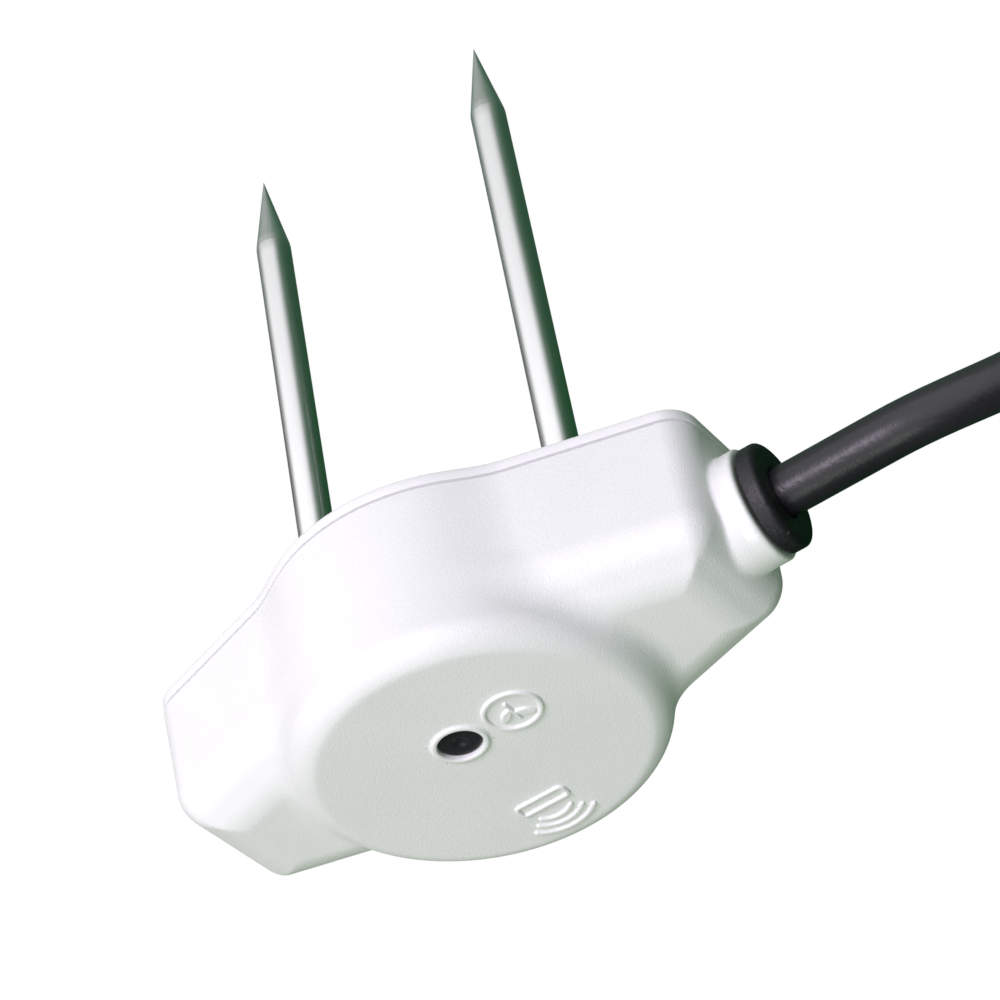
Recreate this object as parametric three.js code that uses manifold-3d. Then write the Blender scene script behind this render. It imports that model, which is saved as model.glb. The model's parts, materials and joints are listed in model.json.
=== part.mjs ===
// Soil moisture sensor: a two-rod probe with a sealed plastic housing, a wake button and a cable.
// Millimetres. +Z points along the probe rods, +X towards the cable gland. The sensor stands on
// the raised marks of its round face at z = 0, and the rods point up. The dimensions below are
// taken from the hub's axis; the finished pieces are moved so that the origin lies under the
// middle of the housing and its gland.
import * as THREE from 'three';
import { mergeVertices } from 'three/addons/utils/BufferGeometryUtils.js';
import Module from 'manifold-3d';

const wasm = await Module();
wasm.setup();

// ---------- driving dimensions ----------
const GAP = 0.3;                    // clearance between neighbouring solids
const MARK_H = 0.3;                 // height of the raised marks on the round face
const MARK_ROOT = MARK_H + 0.4;     // and how deep they root in it

// housing, plan outline
const HUB_R = 20;                   // radius of the central cylinder
const WING_X = 33.0;                // from the hub's axis to the gland end, at the parting plane
const WING_LEFT = 32.5;             // and to the other end
const WING_TAPER = 0.3138;          // angle between a wing's side and the long axis, radians
const WING_D = 18.41;               // distance from the axis of the hub to a wing's side
const CORNER_R = 3.9;               // plan radius at the wing ends
const BLEND_R = 5;                  // concave radius between hub and wing
const HUB_DRAFT = 0.04;             // narrowing of the hub per mm below the parting plane
const WING_DRAFT = 0.05;            // and of the wings

// housing, heights
const FACE_Z = MARK_H;              // the round face
const FACE_R = 17.05;               // its radius, inside a bevel
const HUB_FOLD_Z = 1.5;             // where that bevel meets the hub's wall
const PART_Z = 19.2;                // top of the shell, where the cover starts
const WING_Z = 3.3;                 // flat underside of the wings
const WING_BEVEL = 5.3;             // inset of the underside from the plan outline
const WING_FOLD_Z = 6.2;            // where the bevel under the wings meets their sides
const WALL = 2.4;
const FLOOR = 2;                    // thickness of the round face
const WING_FLOOR = 1.6;
const BEVEL_WALL = 1.8;             // wall behind the bevels
const REBATE_W = 1.3;               // gasket rebate in the rim
const REBATE_H = 0.9;

// cover screws, sunk in the cover
const SCREW_X = 26;
const SCREW_Y = 6.6;
const SCREW_R = 0.9;
const SCREW_HEAD_R = 1.9;
const SCREW_Z = 12.4;
const SCREW_NECK_Z = 19.7;          // underside of the countersunk head
const SCREW_TOP = 20.8;
const SCREW_HOLE_Z = 11;
const CROSS_L = 1.2;                // half length and half width of the cross recess
const CROSS_W = 0.28;
const CROSS_D = 0.7;
const POST_R = 2.2;
const POST_CLEAR = 0.4;             // room round the posts

// cover on the probe side
const COVER_Z = PART_Z + GAP;
const COVER_T = 1.4;
const COVER_TOP = COVER_Z + COVER_T;
const COVER_EDGE = 0.5;
const LIP_IN = 3.0;                 // inset of the locating lip from the outline
const LIP_W = 1.1;
const LIP_H = 1.5;
const BOSS_R = 5.2;                 // bosses round the rods, under the cover
const BOSS_Z = 17.7;

// probe rods
const ROD_X = 15.3;
const ROD_R = 2;
const ROD_TIP_Z = 93.4;
const ROD_CONE = 11.2;
const ROD_BLUNT = 0.12;
const FLANGE_R = 3.4;
const FLANGE_Z = 14.9;
const FLANGE_T = 1;
const STUD_R = 1.5;
const STUD_Z = 8.8;
const BUSH_RI = ROD_R + GAP;
const BUSH_RO = 3.4;

// circuit board, held by the rod studs
const PCB_Z = 12.3;
const PCB_T = 1.6;
const PCB_TOP = PCB_Z + PCB_T;
const PCB_LEFT = -23.3;
const PCB_RIGHT = 22.1;

// wake button
const BTN_X = -0.3;
const BTN_Y = -3.9;
const BTN_R = 2.15;
const BTN_SINK = 0.35;              // how far the cap sits below the round face
const BTN_RING_R = 2.78;

// ring round the seedling mark
const SEAL_R = 3.1;
const SEAL_X = 6.4;
const SEAL_Y = -4.6;

// cable gland
const GLAND_Z = 11.8;
const GLAND_BOSS_R = 6.05;
const GLAND_BOSS_X = 35.2;
const GLAND_HOLE_R = 4;
const GROMMET_R = 5.65;
const GROMMET_X0 = 35.5;
const GROMMET_X1 = 37.5;
const ORIGIN_X = (GROMMET_X1 - WING_LEFT) / 2;

// cable
const CABLE_R = 2.6;
const STUB_X0 = 24.4;
const STUB_X1 = 36.2;
const LEAD_X0 = 36.5;
const LEAD_X1 = 49;                 // where the lead starts to drop
const COIL_X = 97.5;                // centre of the stored coil
const COIL_Y = 16.5;
const COIL_RO = 33.8;               // centreline radius of the outermost turn
const COIL_TURN = 5.3;              // distance between neighbouring turns
const COIL_WRAPS = 2.762;           // turns in each layer
const COIL_LAYERS = 3;
const COIL_Z0 = 1.1;                // the coil lies on its ties
const COIL_START = -2.18;           // where the lead joins the outermost turn, radians
const RISE = 2;                     // angle over which the cable's end rises to the plug, radians
const TAIL = 4;                     // straight cable between the coil and the plug
const TIE_ANGLES = [['left', 2.79], ['right', 1.13]];
const PLUG_R = 4.2;

// ---------- helpers ----------
const group = new THREE.Group();
group.name = 'soil_moisture_sensor';

function weld(geometry) {
  geometry.deleteAttribute('normal');
  geometry.deleteAttribute('uv');
  return mergeVertices(geometry, 1e-4);
}

function solid(geometry) {
  const g = weld(geometry);
  const mesh = new wasm.Mesh({
    numProp: 3,
    vertProperties: new Float32Array(g.attributes.position.array),
    triVerts: new Uint32Array(g.index.array),
  });
  return new wasm.Manifold(mesh);
}

function surface(manifold) {
  const mesh = manifold.getMesh();
  const g = new THREE.BufferGeometry();
  g.setAttribute('position', new THREE.BufferAttribute(new Float32Array(mesh.vertProperties), 3));
  g.setIndex(new THREE.BufferAttribute(new Uint32Array(mesh.triVerts), 1));
  g.computeVertexNormals();
  return g;
}

function unite(list) {
  return list.reduce((whole, next) => whole.add(next));
}

function cut(body, list) {
  return list.reduce((rest, next) => rest.subtract(next), body);
}

function add(name, geometry, color, roughness = 0.5, metalness = 0) {
  const material = new THREE.MeshStandardMaterial({ color, roughness, metalness });
  const mesh = new THREE.Mesh(geometry.translate(-ORIGIN_X, 0, 0), material);
  mesh.name = name;
  group.add(mesh);
  return mesh;
}

// a turned solid about +Z from [radius, height] pairs
function turned(pairs, segments = 32) {
  const points = pairs.map(([r, z]) => new THREE.Vector2(r, z));
  return new THREE.LatheGeometry(points, segments).rotateX(Math.PI / 2);
}

// a disc or ring about +Z between two heights
function ring(ri, ro, z0, z1, segments = 32) {
  if (ri > 0) {
    return turned([[ri, z0], [ro, z0], [ro, z1], [ri, z1], [ri, z0]], segments);
  }
  return turned([[0, z0], [ro, z0], [ro, z1], [0, z1]], segments);
}

function at(geometry, x, y, z = 0) {
  return geometry.translate(x, y, z);
}

// turns a +Z solid so that it runs along +X from the gland axis
function alongX(geometry, y = 0, z = GLAND_Z) {
  return geometry.rotateY(Math.PI / 2).translate(0, y, z);
}

function box(x0, x1, y0, y1, z0, z1) {
  const g = new THREE.BoxGeometry(x1 - x0, y1 - y0, z1 - z0);
  return g.translate((x0 + x1) / 2, (y0 + y1) / 2, (z0 + z1) / 2);
}

function arcPoints(cx, cy, r, a0, a1, steps) {
  const out = [];
  for (let i = 0; i <= steps; i += 1) {
    const a = a0 + ((a1 - a0) * i) / steps;
    out.push(new THREE.Vector2(cx + r * Math.cos(a), cy + r * Math.sin(a)));
  }
  return out;
}

// plan outline of the housing, moved inwards by `inset`
function outline(inset) {
  const hub = HUB_R - inset;
  const blend = BLEND_R + inset;
  const corner = Math.max(CORNER_R - inset, 1.6);
  const dist = WING_D - inset;
  const nx = Math.sin(WING_TAPER);
  const ny = Math.cos(WING_TAPER);
  const normalAngle = Math.atan2(ny, nx);
  // centre of the concave blend: outside both the hub circle and the wing's side
  const away = hub + blend;
  const off = dist + blend;
  const along = Math.sqrt(away * away - off * off);
  const bx = nx * off + ny * along;
  const by = ny * off - nx * along;
  const hubAngle = Math.atan2(by, bx);
  // a quarter from the end of a wing to the middle of the hub
  const quarter = (end) => {
    const cx = end - inset - corner;
    const cy = (dist - corner - nx * cx) / ny;
    return [
      ...arcPoints(cx, cy, corner, 0, normalAngle, 4),
      ...arcPoints(bx, by, blend, normalAngle - Math.PI, hubAngle - Math.PI, 3),
      ...arcPoints(0, 0, hub, hubAngle, Math.PI / 2, 6),
    ];
  };
  const right = quarter(WING_X);
  const left = quarter(WING_LEFT).reverse().slice(1);
  const back = [...right, ...left.map((p) => new THREE.Vector2(-p.x, p.y))];
  const front = [...back].reverse().map((p) => new THREE.Vector2(p.x, -p.y));
  const loop = [...back, ...front];
  return loop.filter((p, i) => p.distanceTo(loop.at(i - 1)) > 1e-6);
}

function prism(points, z0, z1, holes = []) {
  const shape = new THREE.Shape(points);
  holes.forEach((hole) => shape.holes.push(new THREE.Path(hole)));
  const g = new THREE.ExtrudeGeometry(shape, { depth: z1 - z0, bevelEnabled: false });
  return g.translate(0, 0, z0);
}

// a solid through copies of the plan outline, from [inset, height] pairs, lowest first
function loft(levels) {
  const rings = levels.map(([inset, z]) => outline(inset).map((p) => new THREE.Vector3(p.x, p.y, z)));
  const n = rings[0].length;
  const index = [];
  for (let k = 0; k < levels.length - 1; k += 1) {
    for (let i = 0; i < n; i += 1) {
      const a = k * n + i;
      const b = k * n + ((i + 1) % n);
      index.push(a, b, b + n, a, b + n, a + n);
    }
  }
  const top = (levels.length - 1) * n;
  THREE.ShapeUtils.triangulateShape(outline(levels[0][0]), []).forEach(([a, b, c]) => {
    index.push(c, b, a);
  });
  THREE.ShapeUtils.triangulateShape(outline(levels.at(-1)[0]), []).forEach(([a, b, c]) => {
    index.push(top + a, top + b, top + c);
  });
  const g = new THREE.BufferGeometry().setFromPoints(rings.flat());
  g.setIndex(index);
  return g;
}

function tube(curve, r, sides, steps) {
  const section = new THREE.Shape(arcPoints(0, 0, r, 0, 2 * Math.PI, sides).slice(0, sides));
  return new THREE.ExtrudeGeometry(section, { steps, bevelEnabled: false, extrudePath: curve });
}

// ---------- housing shell ----------
const screwSites = [
  [SCREW_X, SCREW_Y], [SCREW_X, -SCREW_Y], [-SCREW_X, SCREW_Y], [-SCREW_X, -SCREW_Y],
];

function marks() {
  const list = [];
  list.push(solid(at(ring(BTN_R + GAP, BTN_RING_R, 0, MARK_ROOT, 28), BTN_X, BTN_Y)));
  // three wireless arcs and a tag outline, the usual sign for a near-field reader
  const spread = 0.82;
  [2.55, 3.75, 4.95].forEach((r) => {
    const outer = arcPoints(0, 10.65, r + 0.27, Math.PI / 2 - spread, Math.PI / 2 + spread, 8);
    const inner = arcPoints(0, 10.65, r - 0.27, Math.PI / 2 + spread, Math.PI / 2 - spread, 8);
    list.push(solid(prism([...outer, ...inner], 0, MARK_ROOT)));
  });
  const tag = (w, h, r) => [
    ...arcPoints(w - r, h - r, r, 0, Math.PI / 2, 2),
    ...arcPoints(r - w, h - r, r, Math.PI / 2, Math.PI, 2),
    ...arcPoints(r - w, r - h, r, Math.PI, 1.5 * Math.PI, 2),
    ...arcPoints(w - r, r - h, r, 1.5 * Math.PI, 2 * Math.PI, 2),
  ];
  const tagOuter = solid(prism(tag(3, 1.1, 0.6), 0, MARK_ROOT));
  const tagInner = solid(prism(tag(2.5, 0.6, 0.3), -1, FACE_Z + 1));
  list.push(tagOuter.subtract(tagInner).translate([0, 10, 0]));
  // a plain seedling in a ring: a stem and two leaves
  const leaf = (side) => {
    const shape = new THREE.Shape();
    shape.moveTo(0, 0);
    shape.quadraticCurveTo(side * 0.1, 1.5, side * 1.7, 1.6);
    shape.quadraticCurveTo(side * 1.7, 0.1, 0, 0);
    return new THREE.ExtrudeGeometry(shape, {
      depth: MARK_ROOT, bevelEnabled: false, curveSegments: 4,
    });
  };
  const sprout = [
    solid(prism(tag(0.25, 1.5, 0.1), 0, MARK_ROOT)),
    solid(leaf(1).translate(0.05, 0.1, 0)),
    solid(leaf(-1).translate(-0.05, -0.5, 0)),
    solid(ring(SEAL_R - 0.55, SEAL_R, 0, MARK_ROOT, 28)),
  ];
  list.push(unite(sprout).translate([SEAL_X, SEAL_Y, 0]));
  return list;
}

const hubOuter = solid(turned([
  [0, FACE_Z], [FACE_R, FACE_Z], [HUB_R - HUB_DRAFT * (PART_Z - HUB_FOLD_Z), HUB_FOLD_Z],
  [HUB_R, PART_Z], [0, PART_Z],
], 48));
const hubInner = solid(turned([
  [0, FACE_Z + FLOOR], [FACE_R - 1, FACE_Z + FLOOR], [HUB_R - WALL, FACE_Z + FLOOR + 1.5],
  [HUB_R - WALL, PART_Z + 5], [0, PART_Z + 5],
], 48));
const wingOuter = solid(loft([
  [WING_BEVEL, WING_Z], [WING_DRAFT * (PART_Z - WING_FOLD_Z), WING_FOLD_Z], [0.02, PART_Z],
]));
const wingInner = solid(loft([
  [WING_BEVEL + BEVEL_WALL / 2, WING_Z + WING_FLOOR], [WALL, WING_FOLD_Z + 1], [WALL, PART_Z + 1],
]));
const glandBoss = solid(alongX(turned([
  [0, 29.5], [GLAND_BOSS_R, 29.5], [GLAND_BOSS_R, GLAND_BOSS_X - 0.4],
  [GLAND_BOSS_R - 0.4, GLAND_BOSS_X], [0, GLAND_BOSS_X],
], 28)));
let shell = unite([hubOuter, wingOuter, glandBoss]);
shell = cut(shell, [hubInner, wingInner]);
const posts = screwSites.map(([x, y]) => solid(at(ring(0, POST_R, WING_Z, PART_Z, 16), x, y)));
const postWell = solid(loft([
  [WING_BEVEL + 0.6, WING_Z + 0.7], [1.3, WING_FOLD_Z + 0.7], [1, PART_Z],
]));
shell = shell.add(unite(posts).intersect(postWell));
const screwHoles = screwSites.map(
  ([x, y]) => solid(at(ring(0, SCREW_R + GAP, SCREW_HOLE_Z, PART_Z + 1, 12), x, y)),
);
const rimCut = solid(prism(outline(WALL - REBATE_W), PART_Z - REBATE_H, PART_Z + 1))
  .subtract(solid(prism(outline(WALL + 3), PART_Z - 2, PART_Z + 2)))
  .subtract(unite(screwSites.map(([x, y]) => solid(at(ring(0, POST_R, 10, PART_Z, 16), x, y)))));
shell = cut(shell, [
  ...screwHoles,
  rimCut,
  solid(alongX(ring(0, GLAND_HOLE_R, 26, GLAND_BOSS_X + 1, 28))),
  solid(alongX(ring(0, 3.95, 24.6, 28.8, 20))),
]);
shell = unite([shell, ...marks()]);
shell = cut(shell, [solid(at(ring(0, BTN_R + GAP, -1, FACE_Z + FLOOR + 1, 28), BTN_X, BTN_Y))]);
add('housing_shell', surface(shell), 0xe9ebe8, 0.42);

// ---------- cover and its gasket ----------
const coverShape = new THREE.Shape(outline(0));
const coverSlab = new THREE.ExtrudeGeometry(coverShape, {
  depth: COVER_T - COVER_EDGE,
  bevelEnabled: true,
  bevelThickness: COVER_EDGE,
  bevelSize: COVER_EDGE,
  bevelOffset: -COVER_EDGE,
  bevelSegments: 2,
}).translate(0, 0, COVER_Z);
const lip = solid(prism(outline(LIP_IN), COVER_Z - LIP_H, COVER_Z + 0.4))
  .subtract(solid(prism(outline(LIP_IN + LIP_W), COVER_Z - 3, COVER_Z + 0.8)));
const belowCover = solid(box(-60, 60, -60, 60, COVER_Z - 5, COVER_Z));
let cover = solid(coverSlab).subtract(belowCover);
const lipRelief = screwSites.map(
  ([x, y]) => solid(at(ring(0, POST_R + POST_CLEAR, BOSS_Z, COVER_Z, 16), x, y)),
);
cover = cover.add(cut(lip, lipRelief));
[-ROD_X, ROD_X].forEach((x) => {
  cover = cover.add(solid(at(ring(0, BOSS_R, BOSS_Z, COVER_Z + 0.4, 28), x, 0)));
  cover = cover.subtract(solid(at(ring(0, BUSH_RO + GAP, BOSS_Z - 1, COVER_TOP + 1, 28), x, 0)));
});
const sink = [
  [0, COVER_Z - 0.5], [SCREW_R + GAP, COVER_Z - 0.5], [SCREW_R + GAP, COVER_Z],
  [SCREW_HEAD_R + 0.35, COVER_Z + 1], [SCREW_HEAD_R + 0.35, COVER_TOP + 1], [0, COVER_TOP + 1],
];
cover = cut(cover, screwSites.map(([x, y]) => solid(at(turned(sink, 16), x, y))));
add('probe_cover', surface(cover), 0xeeefed, 0.45);

const gasket = solid(prism(outline(WALL - REBATE_W + GAP), PART_Z - REBATE_H + GAP, PART_Z))
  .subtract(solid(prism(outline(WALL), PART_Z - 3, PART_Z + 3)))
  .subtract(unite(screwSites.map(
    ([x, y]) => solid(at(ring(0, POST_R + GAP, PART_Z - 2, PART_Z + 1, 16), x, y)),
  )));
add('cover_gasket', surface(gasket), 0x2b2d2e, 0.8);

// ---------- cover screws ----------
screwSites.forEach(([x, y], i) => {
  const profile = [
    [0, SCREW_Z], [0.35, SCREW_Z], [SCREW_R, SCREW_Z + 0.8], [SCREW_R, SCREW_NECK_Z],
    [SCREW_HEAD_R, SCREW_TOP - 0.15], [SCREW_HEAD_R, SCREW_TOP], [0, SCREW_TOP],
  ];
  let screw = solid(turned(profile, 16));
  [[CROSS_L, CROSS_W], [CROSS_W, CROSS_L]].forEach(([a, b]) => {
    screw = screw.subtract(solid(box(-a, a, -b, b, SCREW_TOP - CROSS_D, SCREW_TOP + 1)));
  });
  add(`cover_screw_${i + 1}`, at(surface(screw), x, y), 0xb9bcc0, 0.3, 1);
});

// ---------- probe rods with their seals and fastenings ----------
[['left', -ROD_X], ['right', ROD_X]].forEach(([side, x]) => {
  const rod = turned([
    [0, STUD_Z], [STUD_R - 0.3, STUD_Z], [STUD_R, STUD_Z + 0.3], [STUD_R, FLANGE_Z],
    [FLANGE_R, FLANGE_Z], [FLANGE_R, FLANGE_Z + FLANGE_T], [ROD_R, FLANGE_Z + FLANGE_T],
    [ROD_R, ROD_TIP_Z - ROD_CONE], [ROD_BLUNT, ROD_TIP_Z - 0.1], [0, ROD_TIP_Z],
  ], 24);
  add(`probe_rod_${side}`, at(rod, x, 0), 0xb8babc, 0.25, 1);
  add(`rod_bush_${side}`, at(ring(BUSH_RI, BUSH_RO, BOSS_Z, COVER_TOP, 20), x, 0), 0x1d1f20, 0.6);
  const oring = new THREE.TorusGeometry(3.0, 0.6, 6, 18);
  add(`rod_oring_${side}`, at(oring, x, 0, BOSS_Z - GAP - 0.6), 0x151617, 0.7);
  const contact = ring(STUD_R + GAP, 3.2, PCB_TOP + GAP, FLANGE_Z - GAP, 16);
  add(`rod_contact_${side}`, at(contact, x, 0), 0xd8c48a, 0.35, 1);
  const washer = ring(STUD_R + GAP, 3.2, PCB_Z - 0.8, PCB_Z - GAP, 16);
  add(`rod_washer_${side}`, at(washer, x, 0), 0xb4b6b8, 0.35, 1);
  const hex = new THREE.Shape(arcPoints(0, 0, 3.2, 0, 2 * Math.PI, 6).slice(0, 6));
  hex.holes.push(new THREE.Path(arcPoints(0, 0, STUD_R + GAP, 0, 2 * Math.PI, 16).slice(0, 16)));
  const nut = new THREE.ExtrudeGeometry(hex, { depth: 2.1, bevelEnabled: false });
  add(`rod_nut_${side}`, at(nut, x, 0, 9.1), 0xc0c2c4, 0.35, 1);
});

// ---------- circuit board ----------
const boardPoints = [
  [PCB_LEFT, 5.5], [PCB_LEFT + 2, 6.5], [-18.5, 9.6], [-11, 12.4], [11, 12.4], [18.5, 9.8],
  [PCB_RIGHT, 8.6],
].map(([x, y]) => new THREE.Vector2(x, -y));
const boardBack = [...boardPoints].reverse().map((p) => new THREE.Vector2(p.x, -p.y));
const board = cut(solid(prism([...boardPoints, ...boardBack], PCB_Z, PCB_TOP)), [
  ...[-ROD_X, ROD_X].map((x) => solid(at(ring(0, STUD_R + GAP, 0, 30, 16), x, 0))),
]);
add('main_pcb', surface(board), 0x1f6b3f, 0.5);
const onBoard = PCB_TOP + GAP;
add('shield_can', box(-10.5, 1.5, 1, 11, onBoard, onBoard + 2.6), 0xc6c8ca, 0.3, 1);
add('processor_chip', box(-4.5, 2.5, -9.5, -2.5, onBoard, onBoard + 1), 0x1a1b1c, 0.6);
add('clock_crystal', box(-9, -6, -8, -4.5, onBoard, onBoard + 0.9), 0xcfd1d2, 0.3, 1);
add('storage_capacitor', at(ring(0, 2.6, onBoard, onBoard + 3.6, 20), 6.5, -6.5), 0x2f3235, 0.4);
add('thermistor', box(-22, -20.2, -1, 1, onBoard, onBoard + 0.9), 0x3a2a22, 0.5);
add('cable_terminal', box(19.4, 21.7, -4.2, 4.2, onBoard, onBoard + 3.2), 0xe8e3d4, 0.5);

// ---------- near-field antenna and its ferrite ----------
add('nfc_antenna', ring(9, 15.4, FACE_Z + FLOOR + GAP, FACE_Z + FLOOR + GAP + 0.3, 24), 0xb87333, 0.4, 0.6);
add('ferrite_sheet', ring(8.6, 15.6, 3.2, 3.7, 24), 0x3c3d40, 0.8);

// ---------- wake button ----------
const capZ = FACE_Z + BTN_SINK;
const cap = turned([
  [0, capZ + 0.25], [0.45, capZ + 0.2], [0.75, capZ], [BTN_R - 0.2, capZ], [BTN_R, capZ + 0.2],
  [BTN_R, 2.6], [3.6, 2.6], [3.6, 3.3], [1.2, 3.3], [1.2, 7.6], [0, 7.6],
], 20);
add('button_cap', at(cap, BTN_X, BTN_Y), 0x1b1d1f, 0.5);
const stem = turned([[0, 7.9], [1, 7.9], [1, 9.7], [0, 9.7]], 20);
add('switch_plunger', at(stem, BTN_X, BTN_Y), 0x8f2a22, 0.5);
const switchBlock = solid(box(-3, 3, -3, 3, 8.8, PCB_Z - GAP))
  .subtract(solid(ring(0, 1.4, 8, 10.6, 20)));
add('switch_body', at(surface(switchBlock), BTN_X, BTN_Y), 0x26282a, 0.5);

// ---------- cable gland ----------
const grommet = turned([
  [2.75, 30.2], [3.7, 30.2], [3.7, GROMMET_X0], [GROMMET_R - 0.25, GROMMET_X0],
  [GROMMET_R, GROMMET_X0 + 0.25], [GROMMET_R, GROMMET_X1 - 0.55], [GROMMET_R - 0.5, GROMMET_X1],
  [2.9, GROMMET_X1], [2.9, 30.5], [2.75, 30.2],
], 28);
add('cable_grommet', alongX(grommet), 0x17191a, 0.75);
add('cable_clamp', alongX(ring(CABLE_R + GAP, 3.6, 25.2, 28, 24)), 0xa9abad, 0.35, 1);
add('cable_stub', alongX(ring(0, CABLE_R, STUB_X0, STUB_X1, 20)), 0x1d1f22, 0.45);
[['brown', 0x6b4226], ['white', 0xf0efea], ['black', 0x1a1a1a]].forEach(([name, color], i) => {
  const y = (i - 1) * 1.5;
  const route = new THREE.CatmullRomCurve3([
    new THREE.Vector3(STUB_X0 - GAP, y * 0.9, 12.6),
    new THREE.Vector3(23.5, y, 13.3),
    new THREE.Vector3(23, y * 1.1, 14.6),
    new THREE.Vector3(22, y * 1.2, 15.8),
  ]);
  add(`core_${name}`, tube(route, 0.45, 8, 10), color, 0.5);
});

// ---------- the cable outside: a lead, a stored coil and a tail ----------
const coilTop = COIL_Z0 + 2 * COIL_LAYERS * CABLE_R + 0.1;
const coilInner = COIL_RO - COIL_WRAPS * COIL_TURN;
const coilRi = coilInner - CABLE_R - 0.1;
const coilRo = COIL_RO + CABLE_R + 0.1;
const bulge = 1.2;

function coilRing(grow) {
  const ri = coilRi - grow;
  const ro = coilRo + grow;
  const z0 = COIL_Z0 - grow;
  const z1 = coilTop + grow;
  return turned([
    [ri + bulge, z0], [ro - bulge, z0], [ro, z0 + bulge], [ro, z1 - bulge],
    [ro - bulge, z1], [ri + bulge, z1], [ri, z1 - bulge], [ri, z0 + bulge], [ri + bulge, z0],
  ], 40).translate(COIL_X, COIL_Y, 0);
}

function onCoil(r, angle, z) {
  return new THREE.Vector3(COIL_X + r * Math.cos(angle), COIL_Y + r * Math.sin(angle), z);
}

function ease(t) {
  return t * t * (3 - 2 * t);
}

// the piece of a tube that stays clear of the coil
function clearOfCoil(points, steps) {
  const curve = new THREE.CatmullRomCurve3(points, false, 'centripetal');
  const whole = solid(tube(curve, CABLE_R, 10, steps)).subtract(solid(coilRing(GAP)));
  return whole.decompose().sort((a, b) => b.volume() - a.volume())[0];
}

// the lead: straight out of the gland, then down and round to the outermost turn
const layZ = COIL_Z0 + CABLE_R;
const joint = onCoil(COIL_RO, COIL_START, 0);
const heading = new THREE.Vector3(-Math.sin(COIL_START), Math.cos(COIL_START), 0);
const plan = new THREE.CubicBezierCurve3(
  new THREE.Vector3(LEAD_X1, 0, 0),
  new THREE.Vector3(LEAD_X1 + 11, 0, 0),
  joint.clone().addScaledVector(heading, -11),
  joint,
);
const leadPoints = [new THREE.Vector3(LEAD_X0, 0, GLAND_Z)];
for (let i = 0; i <= 8; i += 1) {
  const p = plan.getPoint(i / 8);
  p.z = GLAND_Z + (layZ - GLAND_Z) * ease(i / 8);
  leadPoints.push(p);
}
leadPoints.push(onCoil(COIL_RO, COIL_START + 0.2, layZ));
add('cable_lead', surface(clearOfCoil(leadPoints, 16)), 0x1d1f22, 0.45);
add('cable_coil', coilRing(0), 0x1d1f22, 0.45);

// the tail: the last turn's end rises over the coil to the plug, which lies on top
const PLUG_Z = coilTop + GAP + PLUG_R;
const coilEnd = COIL_START + COIL_LAYERS * COIL_WRAPS * 2 * Math.PI;
const tailWay = new THREE.Vector3(-Math.sin(coilEnd), Math.cos(coilEnd), 0);
const topZ = layZ + (COIL_LAYERS - 1) * 2 * CABLE_R;
const tailPoints = [];
for (let i = 0; i <= 8; i += 1) {
  const back = RISE * (1 - i / 8);
  const r = coilInner + (COIL_TURN * back) / (2 * Math.PI);
  tailPoints.push(onCoil(r, coilEnd - back, topZ + (PLUG_Z - topZ) * ease(i / 8)));
}
tailPoints.push(onCoil(coilInner, coilEnd, PLUG_Z).addScaledVector(tailWay, TAIL - GAP));
add('cable_tail', surface(clearOfCoil(tailPoints, 14)), 0x1d1f22, 0.45);

// two straps that hold the coil and lift it off the surface
const strapMid = (coilRi + coilRo) / 2;
const strapHalf = (coilRo - coilRi) / 2 + GAP;
TIE_ANGLES.forEach(([side, angle]) => {
  const loop = box(-strapHalf - 0.8, strapHalf + 0.8, -2.5, 2.5, 0, coilTop + GAP + 0.8);
  const inside = box(-strapHalf, strapHalf, -4, 4, 0.8, coilTop + GAP);
  const strap = surface(solid(loop).subtract(solid(inside)));
  strap.translate(strapMid, 0, 0).rotateZ(angle).translate(COIL_X, COIL_Y, 0);
  add(`coil_tie_${side}`, strap, 0x202224, 0.6);
});

// ---------- three-pole plug on the end of the cable ----------
// a turned solid that runs on from the cable's end
const plugStart = onCoil(coilInner, coilEnd, PLUG_Z).addScaledVector(tailWay, TAIL);
function plugPart(pairs) {
  const turn = Math.atan2(tailWay.y, tailWay.x);
  return turned(pairs, 16)
    .rotateY(Math.PI / 2)
    .rotateZ(turn)
    .translate(plugStart.x, plugStart.y, plugStart.z);
}
add('plug_body', plugPart([
  [0, 0], [3.1, 0], [3.3, 9], [3.9, 12], [PLUG_R, 13], [PLUG_R, 26], [3.9, 27], [0, 27],
]), 0x1a1c1e, 0.5);
add('plug_sleeve', plugPart([
  [0, 27.3], [3.4, 27.3], [3.4, 28.5], [1.75, 28.5], [1.75, 34.5], [0, 34.5],
]), 0xc9b27a, 0.25, 1);
add('plug_spacer_1', plugPart([[0, 34.8], [1.7, 34.8], [1.7, 35.3], [0, 35.3]]), 0x151515, 0.5);
add('plug_ring', plugPart([[0, 35.6], [1.75, 35.6], [1.75, 37.9], [0, 37.9]]), 0xc9b27a, 0.25, 1);
add('plug_spacer_2', plugPart([[0, 38.2], [1.7, 38.2], [1.7, 38.7], [0, 38.7]]), 0x151515, 0.5);
add('plug_tip', plugPart([
  [0, 39], [1.75, 39], [1.75, 40], [1.25, 40.8], [1.7, 41.6], [0.5, 43], [0, 43],
]), 0xc9b27a, 0.25, 1);

export default group;
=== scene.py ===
import json
import math

import bmesh
import bpy
import numpy as np
from mathutils import Matrix, Vector

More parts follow.
